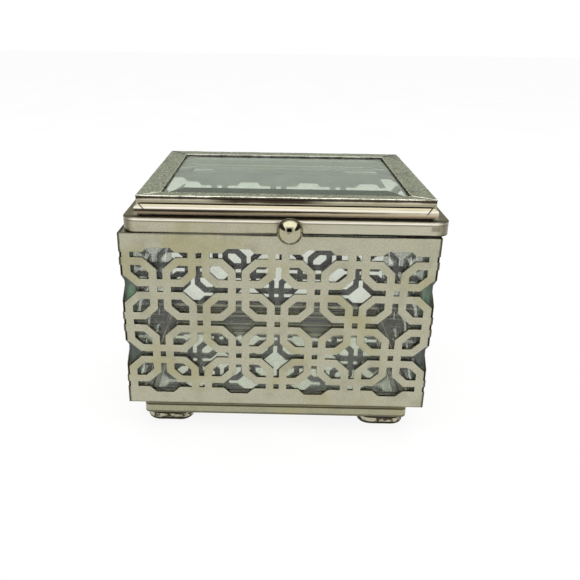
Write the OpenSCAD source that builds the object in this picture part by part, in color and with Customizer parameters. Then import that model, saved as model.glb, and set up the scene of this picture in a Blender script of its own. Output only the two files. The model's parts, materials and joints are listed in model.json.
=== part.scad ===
// Glass casket box: pierced metal panels over glass panes, a mirrored floor,
// and a hinged lid with a bevelled glass pane in a flat mitred frame.
// The body's own centre lies at X = 0, Y = 0 before the whole model is centred
// over its feet; the front faces -Y.

/* [Body] */
// Width of the body across its front
body_w = 100; // [90:1:130]
// Depth of the body from front to back
body_d = 82; // [72:1:110]
// Height of the four pierced panels
panel_h = 60.2; // [52:0.1:80]
// Thickness of the panels' sheet
sheet_t = 1.0; // [0.6:0.1:1.5]

/* [Lattice] */
// Columns of the lattice across the front and back, an even number
front_cols = 8; // [6:2:10]
// Columns of the lattice across each side, an even number
side_cols = 6; // [4:2:8]
// Rows of the lattice
lattice_rows = 4; // [2:2:6]
// Plain border above the lattice
border_top = 4.6; // [4:0.1:8]
// Plain border below the lattice
border_bottom = 4.0; // [3:0.1:8]
// How far the openings run past the middle of the top row
head_overrun = 2.4; // [1.5:0.1:3]
// How far the openings run past the middle of the bottom row
foot_overrun = 3.0; // [1.5:0.1:3.5]
// Width of the narrow slots and of the small squares
slot_w = 1.85; // [1.2:0.05:2.4]
// Width of the straps that form the octagon rings
strap_w = 2.5; // [2:0.05:3]
// Width of the diamonds from corner to corner
diamond_w = 12.2; // [9:0.1:14]

/* [Glass panes] */
// Thickness of the four panes
pane_t = 3.0; // [2:0.1:4]

/* [Rim] */
// Width of the flat rim strips around the mouth
rim_w = 4.0; // [3.5:0.1:7]
// Thickness of the rim strips
rim_t = 1.0; // [0.6:0.1:1.5]

/* [Base] */
// How far the plinth stands in from the panels' outer faces
plinth_inset = 4.2; // [4.1:0.1:9]
// Height of the plinth below the panels
plinth_h = 6.7; // [4:0.1:9]
// Radius of the plinth's upright corners
plinth_r = 2.0; // [1.5:0.1:5]
// Thickness of the base tray's sheet
tray_t = 0.7; // [0.5:0.1:1]
// Thickness of the mirror on the floor
mirror_t = 1.8; // [1:0.1:2]
// Thickness of the card under the mirror
backing_t = 0.3; // [0.2:0.1:0.6]
// Gap all round between the mirror and the plinth's wall
mirror_play = 0.3; // [0.2:0.1:1]

/* [Feet] */
// Height of a foot
foot_h = 4.5; // [3:0.1:6]
// Length of a foot along the front
foot_len = 16.2; // [12:0.1:22]
// Width of a foot from front to back
foot_w = 9.0; // [7:0.1:12]
// Radius of the round edge of a foot
foot_edge_r = 1.3; // [0.5:0.1:2]
// How far a foot stands in from the plinth's front
foot_setback = 1.5; // [1:0.1:5]
// How far a foot stands in from the plinth's side
foot_side_setback = 0.3; // [0.3:0.1:4]
// Diameter of the peened peg on top of a foot
peg_d = 3.0; // [2:0.1:4]

/* [Lid band] */
// How far the lid sits to the right on its worn hinge
lid_shift = 1.8; // [0:0.1:2]
// Gap between the closed lid and the body
lid_gap = 0.4; // [0.2:0.1:0.6]
// How far the band stands out past the body on each side
band_proud = 0.5; // [0:0.1:1]
// Height of the lid's band
band_h = 4.1; // [3.8:0.1:7]
// Thickness of the band's sheet
band_t = 1.0; // [0.6:0.1:1.5]
// Radius of the band's upright corners
band_r = 5.0; // [3:0.1:7]

/* [Lid moulding] */
// Width of the ledge on top of the band, in front of the moulding
ledge_w = 3.9; // [2.5:0.1:6]
// Height of the half-round bead
bead_h = 4.2; // [3:0.1:6]
// How far the bead stands out past the plain fascia above it
bead_proud = 0.8; // [0.3:0.1:1.5]
// Height of the plain fascia above the bead
fascia_h = 1.6; // [1:0.1:3]

/* [Lid frame] */
// Width of the left and right frame strips
frame_side_w = 7.2; // [5:0.1:10]
// Width of the front frame strip
frame_front_w = 4.4; // [4:0.1:10]
// Width of the back frame strip
frame_back_w = 6.6; // [5:0.1:10]
// Thickness of the flat frame strips
frame_t = 0.8; // [0.5:0.1:1.2]
// How far the frame stands out past the fascia
frame_proud = 0.2; // [0:0.1:0.5]

/* [Lid glass] */
// Thickness of the lid's glass at its middle
lid_glass_t = 3.2; // [2.5:0.1:4]
// Width of the bevel around the glass
bevel_w = 7.2; // [4:0.1:12]
// How far the bevel drops towards the edge
bevel_drop = 0.9; // [0.5:0.1:2]
// How far the glass runs under the frame strips
glass_lap = 1.0; // [0.5:0.1:1.5]
// Gap all round between the glass and the moulding
glass_play = 0.3; // [0.2:0.1:0.8]

/* [Knob] */
// Diameter of the ball
knob_d = 8.1; // [6:0.1:12]
// How far the ball sits to the right of the lid's middle
knob_offset = 1.3; // [0:0.1:3]
// Distance from the band to the middle of the ball
knob_reach = 3.6; // [3.4:0.1:3.9]
// Diameter of the rivet that holds the ball
knob_rivet_d = 1.2; // [1:0.1:1.6]
// Diameter of the rivet's head inside the band
knob_head_d = 2.0; // [1.8:0.1:2.1]
// Thickness of the rivet's head
knob_head_t = 0.7; // [0.5:0.1:1.2]

/* [Hinge] */
// Length of the hinge
hinge_len = 56; // [40:1:70]
// Number of knuckles, an odd number
knuckle_count = 5; // [3:2:7]
// Outer diameter of the knuckles
barrel_d = 3.2; // [2.8:0.1:3.6]
// Diameter of the hinge pin
pin_d = 1.4; // [1:0.1:1.8]
// Radial clearance of the pin in the knuckles
pin_play = 0.05; // [0.02:0.01:0.1]
// Gap between neighbouring knuckles
knuckle_gap = 0.15; // [0.1:0.05:0.4]
// Thickness of the hinge leaves
leaf_t = 0.7; // [0.5:0.1:0.9]
// Gap between the knuckles and the body's back
barrel_gap = 0.1; // [0.1:0.1:0.5]
// Gap between a leaf and the other leaf's knuckles
leaf_play = 0.15; // [0.1:0.05:0.3]
// Margin between a leaf's far edge and the edge of what it is riveted to
leaf_margin = 0.3; // [0.2:0.1:0.5]
// Diameter of the hinge rivets' shanks
leaf_rivet_d = 1.0; // [0.8:0.1:1.2]
// Diameter of the hinge rivets' heads
leaf_head_d = 1.8; // [1.6:0.1:2]
// Thickness of the hinge rivets' heads
leaf_head_t = 0.4; // [0.3:0.1:0.6]
// Distance between neighbouring hinge rivets
leaf_rivet_pitch = 22; // [16:1:26]

/* [Hidden] */

plated = "silver";
worn = "darkgray";
glass = "darkseagreen";
through = 1;      // how far a cut runs past the faces it opens
rivet_play = 0.03; // radial clearance of a rivet in its holes
round_fn = 64;
fine_fn = 48;

// Heights, from the feet's soles upwards
plinth_z = foot_h;
panel_z = plinth_z + plinth_h;
panel_top = panel_z + panel_h;
flange_top = panel_z + tray_t;
rim_z = panel_top - rim_t;
backing_z = plinth_z + tray_t;
mirror_z = backing_z + backing_t;
band_z = panel_top + lid_gap;
ledge_z = band_z + band_h;
bead_top = ledge_z + bead_h;
frame_z = bead_top + fascia_h;

// Plan sizes
inner_w = body_w - 2 * sheet_t;
inner_d = body_d - 2 * sheet_t;
plinth_w = body_w - 2 * plinth_inset;
plinth_d = body_d - 2 * plinth_inset;
band_w = body_w + 2 * band_proud;
fascia_w = body_w - 2 * ledge_w;
fascia_d = body_d - 2 * ledge_w;

// The lid's opening between the frame strips, its glass and the seat around it
opening_w = fascia_w - 2 * frame_side_w;
opening_d = fascia_d - frame_front_w - frame_back_w;
opening_y = (frame_front_w - frame_back_w) / 2;
lid_glass_w = opening_w + 2 * glass_lap;
lid_glass_d = opening_d + 2 * glass_lap;
seat_strip = glass_lap + glass_play;
seat_w = opening_w + 2 * seat_strip;
seat_d = opening_d + 2 * seat_strip;

// The lattice's rows, counted up from the panel's lower edge
row_z = border_bottom + foot_overrun;
row_pitch = (panel_h - border_top - border_bottom - head_overrun - foot_overrun)
    / lattice_rows;

// The lid glass stands on its seat and its bevel meets the frame's inner edge
lid_glass_top = frame_z + bevel_drop * (1 - glass_lap / bevel_w);
lid_glass_z = lid_glass_top - lid_glass_t;

// The hinge's axis
axis_y = body_d / 2 + barrel_gap + barrel_d / 2;
axis_z = panel_top + lid_gap / 2;
knuckle_pitch = hinge_len / knuckle_count;
knuckle_len = knuckle_pitch - knuckle_gap;
leaf_reach = barrel_d / 2 + leaf_play;
leaf_body_z = panel_top - border_top + leaf_margin;
leaf_lid_top = ledge_z - leaf_margin;
rivet_body_z = (leaf_body_z + axis_z - leaf_reach) / 2;
rivet_lid_z = ledge_z - band_t - leaf_rivet_d / 2 - 2 * rivet_play;

// The ball and its rivet
knob_y = -body_d / 2 - knob_reach;
knob_z = band_z + band_h / 2;
knob_bore_depth = knob_d / 4;

// Middle of the whole object's footprint, which becomes the origin
low_x = min(-body_w / 2, lid_shift - band_w / 2);
high_x = max(body_w / 2, lid_shift + band_w / 2);
low_y = knob_y - knob_d / 2;
high_y = axis_y + barrel_d / 2;
mid_x = (low_x + high_x) / 2;
mid_y = (low_y + high_y) / 2;

module placed() translate([-mid_x, -mid_y, 0]) children();
module placed_lid() placed() translate([lid_shift, 0, 0]) children();

// Side n of a rectangular ring: 0 front, 1 right, 2 back, 3 left.
// The shape is drawn as the front side and turned about Z.
module ring_side(n) rotate([0, 0, 90 * n]) children();

// A strip of a flat mitred ring, drawn as the front side. The strips that it
// meets at its left and right ends may have widths of their own.
module mitred_strip(w, d, strip, z, h, left = undef, right = undef) {
    left_w = is_undef(left) ? strip : left;
    right_w = is_undef(right) ? strip : right;
    translate([0, 0, z])
        linear_extrude(h)
            polygon([[-w / 2, -d / 2], [w / 2, -d / 2],
                [w / 2 - right_w, -d / 2 + strip], [-w / 2 + left_w, -d / 2 + strip]]);
}

// A rectangle with round corners
module round_rect(w, d, r) {
    square([w - 2 * r, d], center = true);
    square([w, d - 2 * r], center = true);
    for (x = [-1, 1], y = [-1, 1])
        translate([x * (w / 2 - r), y * (d / 2 - r)])
            circle(r, $fn = round_fn);
}

// Lattice openings. Sites lie on a grid of pitch p across and row_pitch up.
// A ring is centred on each site whose column and row add up to an odd number.

// Opening at a ring's centre: a diamond with two crossed slots
module star_opening(p) {
    s = slot_w / 2;
    reach = s + strap_w;
    share = diamond_w / 2 / p;
    across = p - reach;
    up = row_pitch - reach;
    dx = (share - s / row_pitch) * p;
    dy = (share - s / p) * row_pitch;
    square([2 * across, 2 * s], center = true);
    square([2 * s, 2 * up], center = true);
    polygon([[dx, s], [s, dy], [-s, dy], [-dx, s],
        [-dx, -s], [-s, -dy], [s, -dy], [dx, -s]]);
}

// Opening between four sites, with the corners next to the ring centres cut off.
// Ring centres lie at the origin and diagonally across from it, at side times p
// across and one row up.
module eye_opening(p, side) {
    reach = slot_w / 2 + strap_w;
    slant = strap_w * norm([p, row_pitch]) / (p * row_pitch);
    share = diamond_w / 2 / p + slant;
    cut_x = (share - reach / row_pitch) * p;
    cut_y = (share - reach / p) * row_pitch;
    far_x = p - reach;
    far_y = row_pitch - reach;
    polygon([[side * reach, cut_y], [side * cut_x, reach], [side * far_x, reach],
        [side * far_x, row_pitch - cut_y], [side * (p - cut_x), far_y], [side * reach, far_y]]);
}

// All openings of a panel of width w, with its lower edge on the X axis
module lattice_openings(w, cols) {
    p = w / cols;
    translate([-w / 2, row_z]) {
        intersection() {
            translate([-p, -foot_overrun])
                square([w + 2 * p, lattice_rows * row_pitch + head_overrun + foot_overrun]);
            for (i = [0:cols], j = [0:lattice_rows])
                if ((i + j) % 2 == 1)
                    translate([i * p, j * row_pitch]) star_opening(p);
        }
        for (i = [0:cols], j = [0:lattice_rows])
            if ((i + j) % 2 == 0)
                translate([i * p, j * row_pitch]) square(slot_w, center = true);
        for (i = [0:cols - 1], j = [0:lattice_rows - 1])
            translate([(i + (i + j + 1) % 2) * p, j * row_pitch])
                eye_opening(p, 2 * ((i + j) % 2) - 1);
    }
}

// One pierced panel, drawn as the front side of a box w wide and d deep.
// Its ends are mitred so that four of them meet at the corners.
module lattice_panel(w, d, cols) {
    difference() {
        mitred_strip(w, d, sheet_t, panel_z, panel_h);
        translate([0, -d / 2 + sheet_t + through, panel_z])
            rotate([90, 0, 0])
                linear_extrude(sheet_t + 2 * through)
                    lattice_openings(w, cols);
    }
}

// A row of round holes or shanks along X, pointing towards -Y from y
module leaf_rivet_row(y, z, d, length) {
    for (i = [-1:1])
        translate([i * leaf_rivet_pitch, y, z])
            rotate([90, 0, 0])
                cylinder(h = length, d = d, $fn = fine_fn);
}

module panel_front() color(plated) placed() ring_side(0)
    lattice_panel(body_w, body_d, front_cols);

module panel_right() color(plated) placed() ring_side(1)
    lattice_panel(body_d, body_w, side_cols);

module panel_back() color(plated) placed() difference() {
    ring_side(2) lattice_panel(body_w, body_d, front_cols);
    leaf_rivet_row(body_d / 2 + through, rivet_body_z,
        leaf_rivet_d + 2 * rivet_play, sheet_t + 2 * through);
}

module panel_left() color(plated) placed() ring_side(3)
    lattice_panel(body_d, body_w, side_cols);

// The front and back panes run the full inner width and the side panes fit between them
module pane(w, y) {
    translate([-w / 2, y, flange_top])
        cube([w, pane_t, rim_z - flange_top]);
}

module pane_front() color(glass) placed()
    ring_side(0) pane(inner_w, -inner_d / 2);
module pane_back() color(glass) placed()
    ring_side(2) pane(inner_w, -inner_d / 2);
module pane_left() color(glass) placed()
    ring_side(3) pane(inner_d - 2 * pane_t, -inner_w / 2);
module pane_right() color(glass) placed()
    ring_side(1) pane(inner_d - 2 * pane_t, -inner_w / 2);

// Flat strips around the mouth that cover the panes' upper edges
module rim_front() color(plated) placed() ring_side(0)
    mitred_strip(inner_w, inner_d, rim_w, rim_z, rim_t);
module rim_right() color(plated) placed() ring_side(1)
    mitred_strip(inner_d, inner_w, rim_w, rim_z, rim_t);
module rim_back() color(plated) placed() ring_side(2)
    mitred_strip(inner_w, inner_d, rim_w, rim_z, rim_t);
module rim_left() color(plated) placed() ring_side(3)
    mitred_strip(inner_d, inner_w, rim_w, rim_z, rim_t);

// Middles of the four feet
foot_x = plinth_w / 2 - foot_side_setback - foot_len / 2;
foot_y = plinth_d / 2 - foot_setback - foot_w / 2;

// Pan with upright walls and a flange that carries the panes
module base_tray() color(plated) placed() difference() {
    union() {
        translate([0, 0, plinth_z])
            linear_extrude(plinth_h + tray_t) round_rect(plinth_w, plinth_d, plinth_r);
        translate([-inner_w / 2, -inner_d / 2, panel_z])
            cube([inner_w, inner_d, tray_t]);
    }
    translate([0, 0, backing_z])
        linear_extrude(plinth_h + through)
            round_rect(plinth_w - 2 * tray_t, plinth_d - 2 * tray_t, plinth_r - tray_t);
    for (x = [-1, 1], y = [-1, 1])
        translate([x * foot_x, y * foot_y, plinth_z - through])
            cylinder(h = tray_t + 2 * through, d = peg_d + 2 * rivet_play, $fn = fine_fn);
}

module floor_sheet(z, t) {
    gap = 2 * (tray_t + mirror_play);
    translate([0, 0, z])
        linear_extrude(t)
            round_rect(plinth_w - gap, plinth_d - gap, plinth_r - tray_t);
}

module mirror_backing() color("saddlebrown") placed() floor_sheet(backing_z, backing_t);
module floor_mirror() color("lightsteelblue") placed() floor_sheet(mirror_z, mirror_t);

// Half of a foot's cross-section: flat sole, round edge and flat top
module foot_profile() {
    r = foot_w / 2;
    flat = r - foot_edge_r;
    square([flat, foot_h]);
    translate([0, foot_edge_r]) square([r, foot_h - 2 * foot_edge_r]);
    for (z = [foot_edge_r, foot_h - foot_edge_r])
        translate([flat, z]) circle(foot_edge_r, $fn = fine_fn);
}

// A pad with round ends and a peg that is peened into the base tray
module foot(x, y) {
    bar = foot_len - foot_w;
    translate([x * foot_x, y * foot_y, 0]) {
        for (end = [-1, 1])
            translate([end * bar / 2, 0, 0])
                rotate_extrude($fn = round_fn) foot_profile();
        for (turn = [0, 180])
            rotate([0, 0, turn])
                translate([-bar / 2, 0, 0])
                    rotate([90, 0, 90])
                        linear_extrude(bar) foot_profile();
        cylinder(h = foot_h + tray_t, d = peg_d, $fn = fine_fn);
    }
}

module foot_front_left() color(worn) placed() foot(-1, -1);
module foot_front_right() color(worn) placed() foot(1, -1);
module foot_back_left() color(worn) placed() foot(-1, 1);
module foot_back_right() color(worn) placed() foot(1, 1);

// Lower shell of the lid: an upright band under a flat ledge
module lid_band() color(plated) placed_lid() difference() {
    translate([0, 0, band_z])
        linear_extrude(band_h) round_rect(band_w, body_d, band_r);
    translate([0, 0, band_z - through])
        linear_extrude(band_h - band_t + through)
            round_rect(band_w - 2 * band_t, body_d - 2 * band_t, band_r - band_t);
    translate([0, opening_y, ledge_z])
        cube([opening_w, opening_d, 4 * band_t], center = true);
    translate([knob_offset, -body_d / 2 + band_t + through, knob_z])
        rotate([90, 0, 0])
            cylinder(h = band_t + 2 * through, d = knob_rivet_d + 2 * rivet_play, $fn = fine_fn);
    translate([-lid_shift, 0, 0])
        leaf_rivet_row(body_d / 2 + through, rivet_lid_z,
            leaf_rivet_d + 2 * rivet_play, band_t + 2 * through);
}

// Widths of the four frame strips in the order of the ring's sides
frame_widths = [frame_front_w, frame_side_w, frame_back_w, frame_side_w];

// One mitred side of a ring on the lid whose strips are the frame strips' widths
// plus extra, and whose outer edges stand out past the fascia by proud
module lid_strip(n, proud, extra, z, h) {
    across = n % 2 == 0 ? fascia_w : fascia_d;
    deep = n % 2 == 0 ? fascia_d : fascia_w;
    ring_side(n)
        mitred_strip(across + 2 * proud, deep + 2 * proud, frame_widths[n] + extra, z, h,
            frame_widths[(n + 3) % 4] + extra, frame_widths[(n + 1) % 4] + extra);
}

// Cross-section of the lid's moulding, with Y across it and its fascia at zero
module moulding_profile(w) {
    r = bead_h / 2;
    translate([0, bead_h]) square([w, fascia_h]);
    translate([r - bead_proud, 0]) square([w - r + bead_proud, bead_h]);
    translate([r - bead_proud, r]) circle(r, $fn = round_fn);
}

// One mitred side of the moulding
module moulding_side(n) {
    across = n % 2 == 0 ? fascia_w : fascia_d;
    deep = n % 2 == 0 ? fascia_d : fascia_w;
    reach = across / 2 + bead_proud;
    intersection() {
        ring_side(n)
            translate([-reach, -deep / 2, ledge_z])
                rotate([90, 0, 90])
                    linear_extrude(2 * reach) moulding_profile(frame_widths[n] - seat_strip);
        lid_strip(n, bead_proud, bead_proud - seat_strip, ledge_z - through,
            frame_z - ledge_z + 2 * through);
    }
}

module lid_moulding_front() color(plated) placed_lid() moulding_side(0);
module lid_moulding_right() color(plated) placed_lid() moulding_side(1);
module lid_moulding_back() color(plated) placed_lid() moulding_side(2);
module lid_moulding_left() color(plated) placed_lid() moulding_side(3);

// Strips on the ledge, inside the moulding, that the lid's glass stands on
module seat_side(n) translate([0, opening_y, 0]) ring_side(n)
    mitred_strip(n % 2 == 0 ? seat_w : seat_d, n % 2 == 0 ? seat_d : seat_w,
        seat_strip, ledge_z, lid_glass_z - ledge_z);

module lid_seat_front() color(plated) placed_lid() seat_side(0);
module lid_seat_right() color(plated) placed_lid() seat_side(1);
module lid_seat_back() color(plated) placed_lid() seat_side(2);
module lid_seat_left() color(plated) placed_lid() seat_side(3);

// Side view of the bevelled pane, s across and centred
module bevel_profile(s) {
    edge_t = lid_glass_t - bevel_drop;
    polygon([[-s / 2, 0], [s / 2, 0], [s / 2, edge_t], [s / 2 - bevel_w, lid_glass_t],
        [bevel_w - s / 2, lid_glass_t], [-s / 2, edge_t]]);
}

module lid_glass() color(glass) placed_lid() translate([0, opening_y, lid_glass_z])
    intersection() {
        translate([0, lid_glass_d / 2, 0])
            rotate([90, 0, 0])
                linear_extrude(lid_glass_d) bevel_profile(lid_glass_w);
        translate([-lid_glass_w / 2, 0, 0])
            rotate([90, 0, 90])
                linear_extrude(lid_glass_w) bevel_profile(lid_glass_d);
    }

// Flat mitred frame on top of the lid
module frame_side(n) lid_strip(n, frame_proud, frame_proud, frame_z, frame_t);

module lid_frame_front() color(worn) placed_lid() frame_side(0);
module lid_frame_right() color(worn) placed_lid() frame_side(1);
module lid_frame_back() color(worn) placed_lid() frame_side(2);
module lid_frame_left() color(worn) placed_lid() frame_side(3);

// A ball with a flat where it meets the band and a bore for its rivet
module knob() color(plated) placed_lid() translate([knob_offset, 0, knob_z]) difference() {
    translate([0, knob_y, 0]) sphere(d = knob_d, $fn = round_fn);
    translate([-knob_d, -body_d / 2, -knob_d]) cube(2 * knob_d);
    translate([0, -body_d / 2 + through, 0])
        rotate([90, 0, 0])
            cylinder(h = knob_bore_depth + through, d = knob_rivet_d + 2 * rivet_play,
                $fn = fine_fn);
}

// Shank through the band with a flat head inside it
module knob_rivet() color(plated) placed_lid()
    translate([knob_offset, -body_d / 2 + band_t, knob_z])
        rotate([90, 0, 0]) {
            cylinder(h = band_t + knob_bore_depth - rivet_play, d = knob_rivet_d,
                $fn = fine_fn);
            translate([0, 0, -knob_head_t])
                cylinder(h = knob_head_t, d = knob_head_d, $fn = fine_fn);
        }

// Knuckle k of the barrel, without its bore
module knuckle(k) {
    translate([-hinge_len / 2 + k * knuckle_pitch + knuckle_gap / 2, axis_y, axis_z])
        rotate([0, 90, 0])
            cylinder(h = knuckle_len, d = barrel_d, $fn = round_fn);
}

// Slab of a leaf beside knuckle k, between two heights
module leaf_tab(k, low, high) {
    translate([-hinge_len / 2 + k * knuckle_pitch + knuckle_gap / 2, body_d / 2, low])
        cube([knuckle_len, leaf_t, high - low]);
}

// Knuckles first, first + 2 and so on, with the slabs that join them to their leaf
module leaf_knuckles(first, low, high) {
    for (k = [first:2:knuckle_count - 1]) {
        knuckle(k);
        leaf_tab(k, low, high);
    }
}

module barrel_bore() {
    translate([-hinge_len / 2 - through, axis_y, axis_z])
        rotate([0, 90, 0])
            cylinder(h = hinge_len + 2 * through, d = pin_d + 2 * pin_play, $fn = fine_fn);
}

module hinge_leaf_body() color(plated) placed() difference() {
    union() {
        translate([-hinge_len / 2, body_d / 2, leaf_body_z])
            cube([hinge_len, leaf_t, axis_z - leaf_reach - leaf_body_z]);
        leaf_knuckles(0, leaf_body_z, axis_z - lid_gap / 2);
    }
    barrel_bore();
    leaf_rivet_row(body_d / 2 + leaf_t + through, rivet_body_z,
        leaf_rivet_d + 2 * rivet_play, leaf_t + 2 * through);
}

module hinge_leaf_lid() color(plated) placed() difference() {
    union() {
        translate([-hinge_len / 2, body_d / 2, axis_z + leaf_reach])
            cube([hinge_len, leaf_t, leaf_lid_top - axis_z - leaf_reach]);
        leaf_knuckles(1, axis_z + lid_gap / 2, leaf_lid_top);
    }
    barrel_bore();
    leaf_rivet_row(body_d / 2 + leaf_t + through, rivet_lid_z,
        leaf_rivet_d + 2 * rivet_play, leaf_t + 2 * through);
}

module hinge_pin() color(worn) placed()
    translate([-hinge_len / 2, axis_y, axis_z])
        rotate([0, 90, 0])
            cylinder(h = hinge_len, d = pin_d, $fn = fine_fn);

// Rivets through a leaf and the sheet of thickness t behind it
module leaf_rivets(z, t) {
    leaf_rivet_row(body_d / 2 + leaf_t, z, leaf_rivet_d, leaf_t + t);
    leaf_rivet_row(body_d / 2 + leaf_t + leaf_head_t, z, leaf_head_d, leaf_head_t);
}

module hinge_rivets_body() color(worn) placed() leaf_rivets(rivet_body_z, sheet_t);
module hinge_rivets_lid() color(worn) placed() leaf_rivets(rivet_lid_z, band_t);

panel_front();
panel_back();
panel_left();
panel_right();
pane_front();
pane_back();
pane_left();
pane_right();
rim_front();
rim_back();
rim_left();
rim_right();
base_tray();
mirror_backing();
floor_mirror();
foot_front_left();
foot_front_right();
foot_back_left();
foot_back_right();
hinge_leaf_body();
hinge_rivets_body();
hinge_pin();
lid_band();
lid_moulding_front();
lid_moulding_back();
lid_moulding_left();
lid_moulding_right();
lid_seat_front();
lid_seat_back();
lid_seat_left();
lid_seat_right();
lid_glass();
lid_frame_front();
lid_frame_back();
lid_frame_left();
lid_frame_right();
knob();
knob_rivet();
hinge_leaf_lid();
hinge_rivets_lid();
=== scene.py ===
import json
import math

import bmesh
import bpy
from mathutils import Matrix, Vector, noise


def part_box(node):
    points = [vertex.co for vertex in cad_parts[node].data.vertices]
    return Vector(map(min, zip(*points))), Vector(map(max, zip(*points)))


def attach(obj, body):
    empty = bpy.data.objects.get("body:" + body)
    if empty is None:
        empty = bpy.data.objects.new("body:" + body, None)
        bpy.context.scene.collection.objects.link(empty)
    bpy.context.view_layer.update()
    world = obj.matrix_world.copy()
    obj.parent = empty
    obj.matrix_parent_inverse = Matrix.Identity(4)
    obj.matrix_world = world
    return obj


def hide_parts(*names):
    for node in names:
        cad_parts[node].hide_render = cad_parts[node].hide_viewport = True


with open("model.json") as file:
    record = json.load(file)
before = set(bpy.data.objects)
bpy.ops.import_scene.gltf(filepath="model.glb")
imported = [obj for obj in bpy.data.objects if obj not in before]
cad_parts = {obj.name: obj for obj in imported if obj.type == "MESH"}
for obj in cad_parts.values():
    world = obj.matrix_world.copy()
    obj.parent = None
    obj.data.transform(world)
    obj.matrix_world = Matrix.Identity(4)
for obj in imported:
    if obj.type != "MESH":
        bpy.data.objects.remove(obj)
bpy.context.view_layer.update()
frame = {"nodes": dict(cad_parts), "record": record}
nodes = frame["nodes"]
bodyOf = {name: body for body, names in frame["record"]["behaviour"]["bodies"].items()
          for name in names}
print("frame loaded with", len(nodes), "parts")

mm = 0.001
along, across, upward = (1.0, 0.0, 0.0), (0.0, 1.0, 0.0), (0.0, 0.0, 1.0)


def heightOf(nodeName, end):
    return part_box(nodeName)[end].z / mm


heights = {"plinthFoot": heightOf("base_tray", 0), "panelFoot": heightOf("panel_front", 0),
           "trayTop": heightOf("base_tray", 1), "bodyTop": heightOf("panel_front", 1),
           "bandFoot": heightOf("lid_band", 0), "ledge": heightOf("lid_moulding_front", 0),
           "fasciaTop": heightOf("lid_moulding_front", 1)}
bodyLow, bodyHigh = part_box("panel_front")[0] / mm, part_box("panel_back")[1] / mm


# small helpers for node trees

def paint(red, green, blue):
    # screen colour, 0 to 255, to the linear values that a shader takes
    def linear(value):
        share = value / 255
        return share / 12.92 if share <= 0.04045 else ((share + 0.055) / 1.055) ** 2.4
    return (linear(red), linear(green), linear(blue), 1.0)


def fillInputs(tree, node, inputs):
    for key, value in inputs.items():
        if isinstance(value, bpy.types.NodeSocket):
            tree.links.new(value, node.inputs[key])
        else:
            node.inputs[key].default_value = value


def addNode(tree, kind, inputs=None, **settings):
    node = tree.nodes.new(kind)
    for key, value in settings.items():
        setattr(node, key, value)
    fillInputs(tree, node, inputs or {})
    return node


def calc(tree, operation, first, second=0.0, clamp=False):
    node = addNode(tree, "ShaderNodeMath", {0: first, 1: second}, operation=operation, use_clamp=clamp)
    return node.outputs[0]


def fade(tree, value, low, high, start=0.0, end=1.0):
    node = addNode(tree, "ShaderNodeMapRange",
                   {"Value": value, "From Min": low, "From Max": high, "To Min": start, "To Max": end},
                   interpolation_type="SMOOTHSTEP")
    return node.outputs["Result"]


def blendColor(tree, factor, first, second):
    node = addNode(tree, "ShaderNodeMix", {0: factor, 6: first, 7: second}, data_type="RGBA")
    return node.outputs[2]


def attribute(tree, name):
    return addNode(tree, "ShaderNodeAttribute", attribute_name=name).outputs["Fac"]


def objectPoint(tree):
    return addNode(tree, "ShaderNodeTexCoord").outputs["Object"]


def cloud(tree, scale, detail=3.0, roughness=0.5, offset=(0.0, 0.0, 0.0), stretch=(1.0, 1.0, 1.0)):
    # a soft noise on the piece's own coordinates
    mapping = addNode(tree, "ShaderNodeMapping",
                      {"Vector": objectPoint(tree), "Location": offset, "Scale": stretch})
    node = addNode(tree, "ShaderNodeTexNoise",
                   {"Vector": mapping.outputs[0], "Scale": scale, "Detail": detail, "Roughness": roughness})
    return node.outputs["Fac"]


def startGroup(name, inputs, outputs):
    tree = bpy.data.node_groups.new(name, "ShaderNodeTree")
    for label, kind, value in inputs:
        socket = tree.interface.new_socket(name=label, in_out="INPUT", socket_type="NodeSocket" + kind)
        socket.default_value = value
    for label, kind in outputs:
        tree.interface.new_socket(name=label, in_out="OUTPUT", socket_type="NodeSocket" + kind)
    return tree, tree.nodes.new("NodeGroupInput").outputs, tree.nodes.new("NodeGroupOutput").inputs


def useGroup(tree, group, inputs):
    return addNode(tree, "ShaderNodeGroup", inputs, node_tree=group).outputs


# shared effects

toneRules = {"stainFrom": 0.48, "stainTo": 0.68, "shadeFrom": 0.46, "shadeTo": 0.74,
             "shadeShift": (0.31, 0.17, 0.05), "shadeStretch": (2.6, 2.6, 2.6),
             "speckScale": 1800.0, "speckFrom": 0.3, "speckTo": 0.7}


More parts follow.
